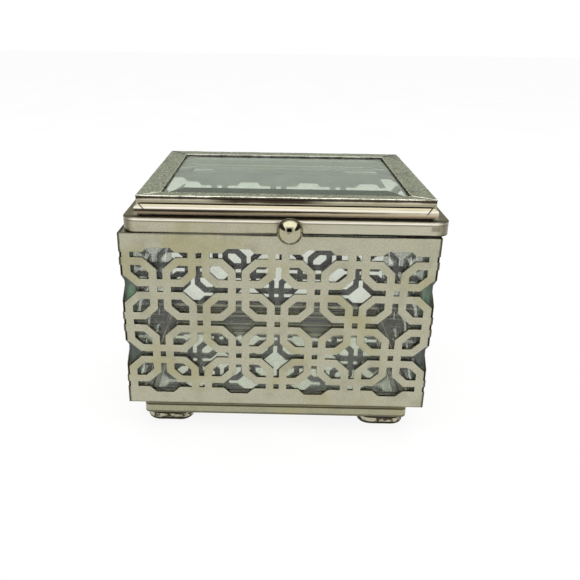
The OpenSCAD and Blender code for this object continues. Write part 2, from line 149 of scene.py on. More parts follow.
def makePlateTone():
    # plated colour with yellowish stains and duller clouds
    tree, given, result = startGroup(
        "plateTone",
        [("Plate", "Color", paint(180, 177, 157)), ("Stain", "Color", paint(172, 166, 128)),
         ("Shade", "Color", paint(150, 146, 124)), ("Stain Amount", "Float", 0.5),
         ("Shade Amount", "Float", 0.5), ("Patch Scale", "Float", 60.0), ("Speckle", "Float", 0.09)],
        [("Color", "Color"), ("Dullness", "Float")])
    patches = cloud(tree, given["Patch Scale"], 4.0)
    clouds = cloud(tree, given["Patch Scale"], 5.0, 0.6, toneRules["shadeShift"], toneRules["shadeStretch"])
    specks = fade(tree, cloud(tree, toneRules["speckScale"], 2.0),
                  toneRules["speckFrom"], toneRules["speckTo"])
    stained = fade(tree, patches, toneRules["stainFrom"], toneRules["stainTo"])
    stained = calc(tree, "MULTIPLY", stained, given["Stain Amount"])
    shaded = fade(tree, clouds, toneRules["shadeFrom"], toneRules["shadeTo"])
    shaded = calc(tree, "MULTIPLY", shaded, given["Shade Amount"])
    color = blendColor(tree, stained, given["Plate"], given["Stain"])
    color = blendColor(tree, shaded, color, given["Shade"])
    # the specks lighten and darken the plate evenly, by up to Speckle
    fine = calc(tree, "MULTIPLY", calc(tree, "SUBTRACT", specks, 0.5), given["Speckle"])
    fine = calc(tree, "ADD", calc(tree, "MULTIPLY", fine, 2.0), 1.0)
    scaled = addNode(tree, "ShaderNodeVectorMath", {0: color, "Scale": fine}, operation="SCALE")
    tree.links.new(scaled.outputs[0], result["Color"])
    tree.links.new(calc(tree, "MAXIMUM", stained, shaded), result["Dullness"])
    return tree


wearAndHighlightRules = {"bareFrom": 0.35, "bareTo": 0.6, "least": 0.35}


def makeEdgeRub():
    # where the plating is rubbed bright along folded and cut edges; the lighter edges also stand as a painted
    # highlight
    tree, given, result = startGroup(
        "edgeWearAndHighlight", [("Amount", "Float", 0.6), ("Break Up", "Float", 400.0)], [("Mask", "Float")])
    broken = fade(tree, cloud(tree, given["Break Up"], 3.0),
                  wearAndHighlightRules["bareFrom"], wearAndHighlightRules["bareTo"], wearAndHighlightRules["least"], 1.0)
    rubbedAndLit = calc(tree, "MULTIPLY", attribute(tree, "edge"), given["Amount"])
    tree.links.new(calc(tree, "MULTIPLY", rubbedAndLit, broken), result["Mask"])
    return tree


sparkRules = {"from": 0.93, "to": 0.955}    # how few of the grains shine


def makeFineGrain():
    # the fine texture of plated sheet, or coarser grains where Coarse is raised
    tree, given, result = startGroup(
        "fineGrain", [("Scale", "Float", 900.0), ("Coarse", "Float", 0.0)],
        [("Height", "Float"), ("Sparkle", "Float")])
    fine = cloud(tree, given["Scale"], 3.0, 0.6)
    cells = addNode(tree, "ShaderNodeTexVoronoi", {"Vector": objectPoint(tree), "Scale": given["Scale"]})
    lumps = calc(tree, "MULTIPLY", cells.outputs["Distance"], given["Coarse"])
    tree.links.new(calc(tree, "ADD", fine, lumps), result["Height"])
    bright = addNode(tree, "ShaderNodeSeparateColor", {0: cells.outputs["Color"]}).outputs[0]
    tree.links.new(fade(tree, bright, sparkRules["from"], sparkRules["to"]), result["Sparkle"])
    return tree


seamRules = {"endFrom": 0.45, "ragScale": 140.0, "ragSpread": 3.0, "thinnest": 0.02,
             "coreTo": 0.5, "fadeTo": 1.1}


def makeSeamGrime():
    # a line along a seam, of dirt, painted shade, a painted highlight or a painted reflection: the plane at
    # Level along Axis, with a ragged width, fading out farther than Reach from Middle
    tree, given, result = startGroup(
        "seamDirtShadeAndHighlight",
        [("Axis", "Vector", (0.0, 0.0, 1.0)), ("Level", "Float", 0.0), ("Width", "Float", 0.0004),
         ("Ragged", "Float", 0.6), ("Middle", "Float", 0.0), ("Reach", "Float", 1.0)],
        [("Mask", "Float")])
    aside = addNode(tree, "ShaderNodeSeparateXYZ", {0: objectPoint(tree)}).outputs[0]
    aside = calc(tree, "ABSOLUTE", calc(tree, "SUBTRACT", aside, given["Middle"]))
    ending = fade(tree, calc(tree, "DIVIDE", aside, given["Reach"]), seamRules["endFrom"], 1.0, 1.0, 0.0)
    height = addNode(tree, "ShaderNodeVectorMath", {0: objectPoint(tree), 1: given["Axis"]},
                     operation="DOT_PRODUCT").outputs["Value"]
    away = calc(tree, "ABSOLUTE", calc(tree, "SUBTRACT", height, given["Level"]))
    uneven = calc(tree, "SUBTRACT", cloud(tree, seamRules["ragScale"], 4.0, 0.6), 0.5)
    uneven = calc(tree, "MULTIPLY", uneven, given["Ragged"])
    wider = calc(tree, "ADD", calc(tree, "MULTIPLY", uneven, seamRules["ragSpread"]), 1.0)
    width = calc(tree, "MAXIMUM", calc(tree, "MULTIPLY", given["Width"], wider), seamRules["thinnest"] * mm)
    near = fade(tree, calc(tree, "DIVIDE", away, width), seamRules["coreTo"], seamRules["fadeTo"], 1.0, 0.0)
    tree.links.new(calc(tree, "MULTIPLY", near, ending), result["Mask"])
    return tree


plateTone = makePlateTone()
edgeWearAndHighlight = makeEdgeRub()
fineGrain = makeFineGrain()
seamDirtShadeAndHighlight = makeSeamGrime()
print("shared effects ready")


# materials

def startMaterial(name):
    material = bpy.data.materials.new(name)
    material.use_nodes = True
    tree = material.node_tree
    tree.nodes.clear()
    output = tree.nodes.new("ShaderNodeOutputMaterial")
    shader = tree.nodes.new("ShaderNodeBsdfPrincipled")
    tree.links.new(shader.outputs[0], output.inputs["Surface"])
    return material, tree, shader


def bumpFrom(tree, height, depth):
    # depth in mm
    bump = addNode(tree, "ShaderNodeBump", {"Height": height, "Distance": depth * mm, "Strength": 1.0})
    return bump.outputs[0]


plateLook = {"plate": (177, 175, 153), "stain": (167, 162, 124), "shade": (152, 149, 128),
             "wall": (84, 80, 60), "inner": (74, 75, 61), "rubAndHighlightColor": (214, 209, 186),
             "sparkColor": (250, 248, 235), "stainAmount": 0.7, "shadeAmount": 0.5,
             "patchScale": 55, "roughness": 0.26, "roughSpread": 0.14, "innerDull": 0.25,
             "rub": 0.5, "grain": 1100, "coarse": 0.0, "grainDepth": 0.006,
             "sparkle": 0.0, "speckle": 0.07, "seams": ()}


def seam(axis, level, width, strength, ragged=0.4, color=(44, 38, 27), middle=0.0, reach=1000.0,
         dull=0.0, inside=False):
    # lengths in mm; dull takes the metal's gloss away, and inside keeps the line to inner faces
    return {"axis": axis, "level": level, "width": width, "strength": strength, "ragged": ragged,
            "color": color, "middle": middle, "reach": reach, "dull": dull, "inside": inside}


def plateMaterial(name, **changes):
    look = {**plateLook, **changes}
    material, tree, shader = startMaterial(name)
    tone = useGroup(tree, plateTone, {
        "Plate": paint(*look["plate"]), "Stain": paint(*look["stain"]), "Shade": paint(*look["shade"]),
        "Stain Amount": look["stainAmount"], "Shade Amount": look["shadeAmount"],
        "Patch Scale": look["patchScale"], "Speckle": look["speckle"]})
    grain = useGroup(tree, fineGrain, {"Scale": look["grain"], "Coarse": look["coarse"]})
    # edges painted lighter: rubbed plating and a painted highlight
    rubbedAndLit = useGroup(tree, edgeWearAndHighlight, {"Amount": look["rub"]})["Mask"]
    # the brightest grains are painted as glints, a painted highlight
    shining = calc(tree, "MULTIPLY", grain["Sparkle"], look["sparkle"])
    color = blendColor(tree, shining, tone["Color"], paint(*look["sparkColor"]))
    color = blendColor(tree, rubbedAndLit, color, paint(*look["rubAndHighlightColor"]))
    color = blendColor(tree, attribute(tree, "cutWall"), color, paint(*look["wall"]))
    # faces that look into the box take the inner colour, a painted shade
    color = blendColor(tree, attribute(tree, "inward"), color, paint(*look["inner"]))
    metallic = 1.0
    for line in look["seams"]:
        dirtAndPaintedLight = useGroup(tree, seamDirtShadeAndHighlight, {
            "Axis": line["axis"], "Level": line["level"] * mm, "Width": line["width"] * mm,
            "Ragged": line["ragged"], "Middle": line["middle"] * mm, "Reach": line["reach"] * mm})
        mask = calc(tree, "MULTIPLY", dirtAndPaintedLight["Mask"], line["strength"])
        if line["inside"]:
            mask = calc(tree, "MULTIPLY", mask, attribute(tree, "inward"))
        color = blendColor(tree, mask, color, paint(*line["color"]))
        if line["dull"]:
            metallic = calc(tree, "SUBTRACT", metallic, calc(tree, "MULTIPLY", mask, line["dull"]), True)
    dull = calc(tree, "MULTIPLY", tone["Dullness"], look["roughSpread"])
    roughness = calc(tree, "ADD", dull, look["roughness"])
    innerDull = calc(tree, "MULTIPLY", attribute(tree, "inward"), look["innerDull"])
    roughness = calc(tree, "ADD", roughness, innerDull)
    fillInputs(tree, shader, {
        "Base Color": color, "Metallic": metallic, "Roughness": roughness,
        "Normal": bumpFrom(tree, grain["Height"], look["grainDepth"])})
    return material


glassLook = {"smudgeScale": 70.0, "smudgeFrom": 0.45, "smudgeTo": 0.75, "smudgeShade": 8,
             "streakScale": 220.0, "streakFrom": 0.4, "streakTo": 0.62, "streakStretch": (1.0, 1.0, 0.35),
             "deepGreen": (78, 130, 94), "paleGreen": (196, 242, 204), "groundTint": 0.92,
             "groundRough": 0.3, "waveScale": 45.0, "waveDepth": 0.001, "lightBend": 1.5}


def glassMaterial(name, clear, haze, smear, tint, density):
    # tint and density colour the light inside, and the ground edges are green
    material, tree, shader = startMaterial(name)
    smudges = fade(tree, cloud(tree, glassLook["smudgeScale"], 5.0, 0.6),
                   glassLook["smudgeFrom"], glassLook["smudgeTo"])
    ground = attribute(tree, "edge")
    streaks = cloud(tree, glassLook["streakScale"], 4.0, 0.7, (0.0, 0.0, 0.0), glassLook["streakStretch"])
    streaks = fade(tree, streaks, glassLook["streakFrom"], glassLook["streakTo"])
    green = blendColor(tree, streaks, paint(*glassLook["deepGreen"]), paint(*glassLook["paleGreen"]))
    smudged = [value - glassLook["smudgeShade"] for value in clear]
    color = blendColor(tree, smudges, paint(*clear), paint(*smudged))
    color = blendColor(tree, calc(tree, "MULTIPLY", ground, glassLook["groundTint"]), color, green)
    fillInputs(tree, shader, {
        "Base Color": color, "Metallic": 0.0, "Transmission Weight": 1.0 - haze,
        "IOR": glassLook["lightBend"],
        "Roughness": calc(tree, "ADD", calc(tree, "MULTIPLY", smudges, smear),
                          calc(tree, "MULTIPLY", ground, glassLook["groundRough"])),
        "Normal": bumpFrom(tree, cloud(tree, glassLook["waveScale"], 2.0), glassLook["waveDepth"])})
    absorb = addNode(tree, "ShaderNodeVolumeAbsorption", {"Color": (*tint, 1.0), "Density": density})
    tree.links.new(absorb.outputs[0], tree.nodes["Material Output"].inputs["Volume"])
    return material


mirrorLook = {"dustScale": 900.0, "dustFrom": 0.62, "dustTo": 0.72, "dustAmount": 0.35,
              "filmScale": 40.0, "filmFrom": 0.4, "filmTo": 0.75, "clean": (238, 241, 230),
              "filmed": (228, 232, 216), "dust": (170, 172, 160), "metallic": (0.86, 0.76),
              "roughness": (0.01, 0.04), "waveScale": 30.0, "waveDepth": 0.001}


def mirrorMaterial(name):
    material, tree, shader = startMaterial(name)
    dust = fade(tree, cloud(tree, mirrorLook["dustScale"], 2.0), mirrorLook["dustFrom"], mirrorLook["dustTo"])
    dust = calc(tree, "MULTIPLY", dust, mirrorLook["dustAmount"])
    film = fade(tree, cloud(tree, mirrorLook["filmScale"], 4.0), mirrorLook["filmFrom"], mirrorLook["filmTo"])
    color = blendColor(tree, film, paint(*mirrorLook["clean"]), paint(*mirrorLook["filmed"]))
    color = blendColor(tree, dust, color, paint(*mirrorLook["dust"]))
    fillInputs(tree, shader, {
        "Base Color": color, "Metallic": fade(tree, film, 0.0, 1.0, *mirrorLook["metallic"]),
        "Roughness": fade(tree, film, 0.0, 1.0, *mirrorLook["roughness"]),
        "Normal": bumpFrom(tree, cloud(tree, mirrorLook["waveScale"], 1.0), mirrorLook["waveDepth"])})
    return material


cardLook = {"fibreScale": 600.0, "stretch": (1.0, 5.0, 1.0), "dark": (118, 96, 68),
            "pale": (158, 134, 100), "roughness": (0.85, 0.95), "depth": 0.04}


def cardMaterial(name):
    material, tree, shader = startMaterial(name)
    fibres = cloud(tree, cardLook["fibreScale"], 5.0, 0.7, (0.0, 0.0, 0.0), cardLook["stretch"])
    fillInputs(tree, shader, {
        "Base Color": blendColor(tree, fibres, paint(*cardLook["dark"]), paint(*cardLook["pale"])),
        "Roughness": fade(tree, fibres, 0.2, 0.8, *cardLook["roughness"]),
        "Normal": bumpFrom(tree, fibres, cardLook["depth"])})
    return material


footLook = {"lumpScale": 420.0, "depth": 0.22, "patinaScale": 260.0, "patinaShift": (0.2, 0.4, 0.1),
            "patinaFrom": 0.49, "patinaTo": 0.56, "belowTop": 1.2, "aboveSole": 1.0, "darkLineWidth": 0.55,
            "dull": (150, 146, 118), "worn": (206, 203, 178), "patina": (70, 60, 42),
            "grime": (38, 32, 22), "metallic": (1.0, 0.45), "roughness": (0.34, 0.62)}


def footMaterial(name):
    # cast feet: plating worn to patches, with dark patina in the hollows
    material, tree, shader = startMaterial(name)
    lumps = cloud(tree, footLook["lumpScale"], 5.0, 0.65)
    patina = fade(tree, cloud(tree, footLook["patinaScale"], 5.0, 0.7, footLook["patinaShift"]),
                  footLook["patinaFrom"], footLook["patinaTo"])
    # a painted shadow along the top of the foot, under the plinth, and a dark line near the sole
    top = useGroup(tree, seamDirtShadeAndHighlight, {
        "Level": (heights["plinthFoot"] - footLook["belowTop"]) * mm,
        "Width": footLook["darkLineWidth"] * mm, "Ragged": 0.5})["Mask"]
    heel = useGroup(tree, seamDirtShadeAndHighlight, {
        "Level": footLook["aboveSole"] * mm, "Width": footLook["darkLineWidth"] * mm, "Ragged": 0.6})["Mask"]
    color = blendColor(tree, lumps, paint(*footLook["dull"]), paint(*footLook["worn"]))
    color = blendColor(tree, patina, color, paint(*footLook["patina"]))
    color = blendColor(tree, calc(tree, "MAXIMUM", top, heel), color, paint(*footLook["grime"]))
    fillInputs(tree, shader, {
        "Base Color": color, "Metallic": fade(tree, patina, 0.0, 1.0, *footLook["metallic"]),
        "Roughness": fade(tree, patina, 0.0, 1.0, *footLook["roughness"]),
        "Normal": bumpFrom(tree, lumps, footLook["depth"])})
    return material


# seams of each kind of piece: axis, level, width, strength, ragged, colour, middle, reach

panelSeams = (
    seam(upward, heights["bodyTop"], 0.35, 0.5, 0.8),
    seam(upward, heights["panelFoot"], 0.35, 0.5, 0.8),
    seam(upward, heights["bodyTop"], 0.28, 0.92, 0.3, (14, 12, 6), 26.0, 60.0))     # the lid's shadow


def cornerSeams(axis, low, high):
    # painted shade that darkens the folded corners of a panel
    return tuple(seam(axis, level, 0.8, 0.85, 0.5, (46, 43, 32)) for level in (low, high))


# painted shade above and in the plinth's step and under the panels, a painted highlight line between them,
# and a dark line at the plinth's foot
traySeams = (
    seam(upward, heights["panelFoot"] - 3.1, 0.6, 0.4, 0.2, (110, 106, 80)),
    seam(upward, heights["panelFoot"] - 3.5, 0.45, 0.88, 0.15, (52, 48, 26)),       # painted shade in the plinth's step
    seam(upward, heights["panelFoot"] - 2.65, 0.35, 0.85, 0.3, (48, 42, 28)),
    seam(upward, heights["panelFoot"] - 1.95, 0.3, 0.8, 0.3, (214, 208, 184)),
    seam(upward, heights["panelFoot"] - 1.0, 0.7, 0.9, 0.3, (40, 34, 22)),          # painted shade under the panels
    seam(upward, heights["plinthFoot"] + 0.2, 0.6, 0.6, 0.3))

# painted shade and painted highlights along the rolled strip: dark lines at its top, in its grooves and at
# its foot, light lines on its ribs
stripSeams = (
    seam(upward, heights["trayTop"] + 3.1, 0.35, 0.92, 0.3, (24, 21, 13)),
    seam(upward, heights["trayTop"] + 2.4, 0.6, 0.97, 0.1, (255, 250, 232), dull=0.95),
    seam(upward, heights["trayTop"] + 1.75, 0.2, 0.85, 0.3, (216, 206, 172)),
    seam(upward, heights["trayTop"] + 1.25, 0.34, 0.92, 0.3, (24, 21, 13)),
    seam(upward, heights["trayTop"] + 0.3, 0.3, 0.9, 0.3, (30, 27, 17)))

# painted shadow in the gap at the band's foot, painted shade below the ledge's rim and on the round corners,
# painted highlights along the rim and the ledge's outer edge, and the ledge darker on its inner half
bandSeams = (
    seam(along, 28.0, 22.0, 0.6, 0.05, (192, 190, 172)),                            # the paler right half
    seam(upward, heights["bandFoot"], 0.25, 0.75, 0.5),
    seam(upward, heights["bandFoot"], 0.55, 0.96, 0.3, (12, 10, 4), 30.0, 50.0),
    seam(upward, heights["bandFoot"] + 2.4, 0.95, 0.65, 0.1, (112, 108, 88), 46.45, 1.9),   # painted shade on a spot where the band turns at its right corner
    seam(upward, heights["ledge"] - 0.6, 0.34, 0.5, 0.5, (96, 90, 72)),
    seam(upward, heights["ledge"] - 0.24, 0.2, 0.95, 0.1, (255, 250, 236)),         # a painted highlight on the ledge's rim
    seam(across, bodyLow.y + 3.05, 1.5, 0.92, 0.3, (42, 36, 22), inside=True),
    seam(across, bodyLow.y + 0.5, 0.55, 0.85, 0.2, (255, 251, 238), inside=True, dull=0.4),
    seam(along, -50.35, 5.0, 0.75, 0.3, (96, 90, 70)),                              # painted shade on the round corners
    seam(along, 51.65, 5.0, 0.75, 0.3, (96, 90, 70)))

ledge, fasciaTop = heights["ledge"], heights["fasciaTop"]
# on the bead: painted reflections in light and dark bands, a painted highlight along its crown, and painted
# shade at its foot and along its top groove; a painted shadow under the frame, and a painted dark reflection
# across the middle of the fascia
mouldingSeams = (
    seam(upward, ledge + 0.9, 0.75, 0.92, 0.2, (206, 188, 162), dull=0.85),
    seam(upward, ledge + 0.05, 0.45, 0.9, 0.3, (30, 22, 12)),                       # painted shade at the bead's foot, on the ledge
    seam(upward, ledge + 4.0, 1.25, 0.9, 0.3, (150, 144, 120)),
    seam(upward, ledge + 3.45, 0.5, 0.75, 0.2, (166, 158, 136)),
    seam(upward, ledge + 2.8, 0.4, 0.85, 0.3, (255, 249, 234)),                     # a painted highlight along the bead's crown
    seam(upward, ledge + 1.95, 0.5, 0.95, 0.3, (30, 20, 15), -14.0, 60.0),
    seam(upward, ledge + 1.5, 0.42, 0.9, 0.3, (206, 190, 162), 40.0, 60.0, dull=0.85),
    seam(upward, ledge + 3.95, 0.2, 0.75, 0.3, (78, 70, 50)),
    seam(upward, fasciaTop, 0.5, 0.93, 0.6, (36, 28, 18)),                          # painted shadow under the frame
    seam(upward, fasciaTop - 0.4, 1.0, 0.93, 0.5, (40, 29, 23), -5.0, 22.0))

# lines where the front bead meets the side beads
mitreSeams = (
    seam((0.669, 0.0, 0.743), 29.31, 0.2, 0.9, 0.3, (30, 26, 16), -44.1, 1.7),
    seam((-0.76, 0.0, 0.65), 17.18, 0.22, 0.9, 0.3, (30, 26, 16), 45.1, 1.6))

# painted shade where the ball meets the band, and a painted reflection on the ball's front: a dark spot with
# a paler rim
knobSeams = (
    seam(across, -42.3, 1.75, 0.88, 0.1, (50, 46, 34)),                             # painted shade beside the band
    seam(upward, heights["bandFoot"] + 3.6, 0.72, 1.0, 0.0, (8, 6, 3), 1.7, 1.15),  # a painted reflection, a dark spot
    seam(upward, heights["bandFoot"] + 4.35, 0.18, 0.8, 0.0, (112, 106, 88), 1.7, 1.7))


def makeFrameSeams():
    # a painted shadow under the frame, and dark lines where its back strip meets the side strips
    back, left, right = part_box("lid_frame_back"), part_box("lid_frame_left"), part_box("lid_frame_right")
    deep = (back[1].y - back[0].y) / mm
    lines = [seam(upward, fasciaTop + 0.1, 0.5, 0.9, 0.9, (40, 32, 20))]
    for corner, wide in ((left[0].x / mm, (left[1].x - left[0].x) / mm),
                         (right[1].x / mm, (right[0].x - right[1].x) / mm)):
        normal = Vector((deep, wide, 0.0)).normalized()
        level = normal.dot(Vector((corner, back[1].y / mm, 0.0)))
        lines.append(seam(tuple(normal), level, 0.6, 0.95, 0.3, (58, 56, 42), corner + wide / 2, 8.0))
    return tuple(lines)


frameSeams = makeFrameSeams()
# a painted highlight along the inner edge of the back strip
frameBackSeam = seam(across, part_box("lid_frame_back")[0].y / mm + 0.55, 0.6, 0.85, 0.4, (240, 240, 230))
frameLook = {"plate": (180, 181, 164), "stain": (170, 170, 148), "shade": (134, 137, 118),
             "rubAndHighlightColor": (255, 250, 232), "shadeAmount": 0.9, "patchScale": 230, "grain": 2400,
             "coarse": 1.4, "grainDepth": 0.07, "sparkle": 1.0, "speckle": 0.5, "roughness": 0.25,
             "rub": 0.95}
mouldingLook = {"plate": (196, 188, 166), "roughness": 0.10, "roughSpread": 0.1, "grainDepth": 0.003}
knobLook = {"plate": (174, 171, 148), "roughness": 0.035, "roughSpread": 0.04, "stainAmount": 0.25,
            "shadeAmount": 0.2, "grainDepth": 0.0004}
bandLook = {"plate": (178, 174, 152), "stainAmount": 0.7, "inner": (172, 168, 146), "rub": 0.9,
            "rubAndHighlightColor": (236, 229, 206)}

finishes = {
    "pierced_panel": plateMaterial(
        "piercedPlate", seams=panelSeams + cornerSeams(along, bodyLow.x, bodyHigh.x)),
    # the side panels' cut walls are painted near black, as painted shade where they are seen edge on
    "pierced_side": plateMaterial(
        "piercedSidePlate", wall=(44, 42, 32),
        seams=panelSeams + cornerSeams(across, bodyLow.y, bodyHigh.y)),
    "rim_metal": plateMaterial("rimPlate", plate=(168, 164, 142), roughness=0.34),
    "base_metal": plateMaterial("basePlate", plate=(160, 158, 132), shadeAmount=0.8, seams=traySeams),
    "strip_metal": plateMaterial("stripPlate", plate=(138, 128, 98), stain=(104, 92, 62), seams=stripSeams),
    "band_metal": plateMaterial("bandPlate", **bandLook, seams=bandSeams),
    "moulding_metal": plateMaterial("mouldingPlate", **mouldingLook, seams=mouldingSeams),
    "moulding_front": plateMaterial("mouldingFrontPlate", **mouldingLook, seams=mouldingSeams + mitreSeams),
    "seat_metal": plateMaterial("seatPlate", plate=(120, 118, 104), inner=(92, 94, 82), roughness=0.4),
    "frame_metal": plateMaterial("framePlate", **frameLook, inner=(150, 148, 124), seams=frameSeams),
    "frame_back": plateMaterial("frameBackPlate", **frameLook, inner=(84, 82, 68),
                                seams=frameSeams + (frameBackSeam,)),
    "knob_metal": plateMaterial("knobPlate", **knobLook, seams=knobSeams),
    "hinge_metal": plateMaterial("hingePlate", plate=(168, 164, 142), roughness=0.3),
    "rivet_metal": plateMaterial("rivetPlate", plate=(160, 154, 128), roughness=0.32),
    "pin_metal": plateMaterial("pinSteel", plate=(140, 139, 132), stain=(132, 122, 98), roughness=0.3),
    "pane_glass": glassMaterial("paneGlass", clear=(234, 235, 229), haze=0.01, smear=0.02,
                                tint=(0.35, 0.72, 0.52), density=14.0),
    "lid_glass": glassMaterial("lidGlass", clear=(236, 242, 232), haze=0.04, smear=0.03,
                               tint=(0.30, 0.74, 0.52), density=18.0),
    "mirror": mirrorMaterial("silveredGlass"),
    "card": cardMaterial("backingCard"),
    "foot_metal": footMaterial("castFoot"),
}
print("materials ready:", len(finishes))


# dressed copies of the parts

pieceLooks = {
    # slot, edge radius in mm, edge segments, outward side
    "panel_front": ("pierced_panel", 0.08, 1, (0, -1, 0)),
    "panel_back": ("pierced_panel", 0.08, 1, (0, 1, 0)),
    "panel_left": ("pierced_panel", 0.08, 1, (-1, 0, 0)),
    "panel_right": ("pierced_panel", 0.08, 1, (1, 0, 0)),
    "rim_front": ("rim_metal", 0.15, 2, (0, -1, 0)),
    "rim_back": ("rim_metal", 0.15, 2, (0, 1, 0)),
    "rim_left": ("rim_metal", 0.15, 2, (-1, 0, 0)),
    "rim_right": ("rim_metal", 0.15, 2, (1, 0, 0)),
    "base_tray": ("base_metal", 0.18, 2, None),
    "lid_band": ("band_metal", 0.32, 3, (0, 0, -1)),
    "lid_moulding_front": ("moulding_metal", 0.07, 2, (0, -1, 0)),
    "lid_moulding_back": ("moulding_metal", 0.07, 2, (0, 1, 0)),
    "lid_moulding_left": ("moulding_metal", 0.07, 2, (-1, 0, 0)),
    "lid_moulding_right": ("moulding_metal", 0.07, 2, (1, 0, 0)),
    "lid_seat_front": ("seat_metal", 0.1, 1, (0, -1, 0)),
    "lid_seat_back": ("seat_metal", 0.1, 1, (0, 1, 0)),
    "lid_seat_left": ("seat_metal", 0.1, 1, (-1, 0, 0)),
    "lid_seat_right": ("seat_metal", 0.1, 1, (1, 0, 0)),
    "lid_frame_front": ("frame_metal", 0.3, 3, (0, -1, 0)),
    "lid_frame_back": ("frame_metal", 0.36, 3, (0, 1, 0)),
    "lid_frame_left": ("frame_metal", 0.34, 3, (-1, 0, 0)),
    "lid_frame_right": ("frame_metal", 0.34, 3, (1, 0, 0)),
    "hinge_leaf_body": ("hinge_metal", 0.12, 2, None),
    "hinge_leaf_lid": ("hinge_metal", 0.12, 2, None),
    "hinge_pin": ("pin_metal", 0.08, 1, None),
    "hinge_rivets_body": ("rivet_metal", 0.05, 1, None),
    "hinge_rivets_lid": ("rivet_metal", 0.05, 1, None),
    "knob": ("knob_metal", 0, 0, None),
    "knob_rivet": ("rivet_metal", 0, 0, None),
    "foot_front_left": ("foot_metal", 0, 0, None),
    "foot_front_right": ("foot_metal", 0, 0, None),
    "foot_back_left": ("foot_metal", 0, 0, None),
    "foot_back_right": ("foot_metal", 0, 0, None),
    "floor_mirror": ("mirror", 0.12, 1, None),
    "mirror_backing": ("card", 0, 0, None),
    "pane_front": ("pane_glass", 0.15, 2, None),
    "pane_back": ("pane_glass", 0.15, 2, None),
    "pane_left": ("pane_glass", 0.15, 2, None),
    "pane_right": ("pane_glass", 0.15, 2, None),
    "lid_glass": ("lid_glass", 0.08, 2, None),
}
# the pieces whose finish isn't simply their slot's
finishOf = {"panel_left": "pierced_side", "panel_right": "pierced_side",
            "lid_moulding_front": "moulding_front", "lid_frame_back": "frame_back"}
shapeRules = {"merge": 0.001, "flatAngle": 0.6, "sharpAngle": 28.0, "smoothAngle": 40.0,
              "glassRelief": 0.02, "innerFacing": -0.6, "wallFacing": 0.3, "groundFacing": 0.5}
rippleLook = {"step": 1.4, "depth": 0.14, "scale": 260.0, "skin": 0.1}
glassSlots = ("pane_glass", "lid_glass")
flatSlots = glassSlots + ("mirror",)
thinAxis = {"pane_front": 1, "pane_back": 1, "pane_left": 0, "pane_right": 0, "lid_glass": 2}
faceMarks = ("edge", "inward", "cutWall")    # what the finishes read from the faces


def camelName(nodeName):
    first, *rest = nodeName.split("_")
    return first + "".join(word.capitalize() for word in rest)


def mergedCopy(nodeName):
    shape = bmesh.new()
    shape.from_mesh(nodes[nodeName].data)
    bmesh.ops.remove_doubles(shape, verts=shape.verts, dist=shapeRules["merge"] * mm)
    bmesh.ops.dissolve_limit(shape, angle_limit=math.radians(shapeRules["flatAngle"]),
                             verts=shape.verts, edges=shape.edges, use_dissolve_boundaries=False)
    return shape


def softenEdges(shape, radius, segments):
    limit = math.radians(shapeRules["sharpAngle"])
    sharp = [edge for edge in shape.edges if edge.is_manifold and edge.calc_face_angle() > limit]
    done = bmesh.ops.bevel(shape, geom=sharp, offset=radius * mm, offset_type="OFFSET", affect="EDGES",
                           segments=segments, profile=0.5, material=-1, clamp_overlap=True)
    edgeLayer = shape.faces.layers.float["edge"]
    for face in done["faces"]:
        face[edgeLayer] = 1.0


def markSides(shape, outward, pierced):
    # tells the finish which faces look into the box, and which are cut walls
    innerLayer = shape.faces.layers.float["inward"]
    wallLayer = shape.faces.layers.float["cutWall"]
    away = Vector(outward)
    shape.normal_update()
    for face in shape.faces:
        facing = face.normal.dot(away)
        face[innerLayer] = 1.0 if facing < shapeRules["innerFacing"] else 0.0
        face[wallLayer] = 1.0 if pierced and abs(facing) <= shapeRules["wallFacing"] else 0.0


def markGround(shape, thin):
    # the ground sides of a pane, which stand across its thin way
    edgeLayer = shape.faces.layers.float["edge"]
    shape.normal_update()
    for face in shape.faces:
        if abs(face.normal[thin]) < shapeRules["groundFacing"]:
            face[edgeLayer] = 1.0


def finishPiece(shape, nodeName, slotName):
    name = camelName(nodeName)
    mesh = bpy.data.meshes.new(name)
    shape.to_mesh(mesh)
    shape.free()
    # the normals that came with the solid would bend the light in the glass
    if "custom_normal" in mesh.attributes:
        mesh.attributes.remove(mesh.attributes["custom_normal"])
    mesh.set_sharp_from_angle(angle=math.radians(shapeRules["smoothAngle"]))
    for polygon in mesh.polygons:
        polygon.use_smooth = slotName not in flatSlots
    mesh.materials.append(finishes[finishOf.get(nodeName, slotName)])
    piece = bpy.data.objects.new(name, mesh)
    bpy.context.scene.collection.objects.link(piece)
    if slotName not in flatSlots:
        weighted = piece.modifiers.new("evenNormals", "WEIGHTED_NORMAL")
        weighted.keep_sharp = True
        weighted.weight = 100
    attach(piece, bodyOf[nodeName])
    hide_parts(nodeName)


def rippleTop(shape, nodeName):
    # the frame strips are beaten by hand, so their top faces are a little uneven
    low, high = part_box(nodeName)
    lengthwise = 0 if high.x - low.x > high.y - low.y else 1
    normal = Vector(along if lengthwise == 0 else across)
    step = rippleLook["step"] * mm
    place = low[lengthwise] + step
    while place < high[lengthwise] - 0.5 * step:
        everything = shape.verts[:] + shape.edges[:] + shape.faces[:]
        bmesh.ops.bisect_plane(shape, geom=everything, dist=1e-7, plane_co=normal * place, plane_no=normal)
        place += step
    for vert in shape.verts:
        if vert.co.z > high.z - rippleLook["skin"] * mm:
            wave = 0.5 + 0.5 * noise.noise(vert.co * rippleLook["scale"])
            vert.co.z -= rippleLook["depth"] * mm * wave


def shrinkGlass(shape, nodeName):
    # a hair of air between the glass and the metal that it touches
    low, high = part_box(nodeName)
    middle = (low + high) / 2
    for vert in shape.verts:
        for i in range(3):
            vert.co[i] -= math.copysign(shapeRules["glassRelief"] * mm, vert.co[i] - middle[i])


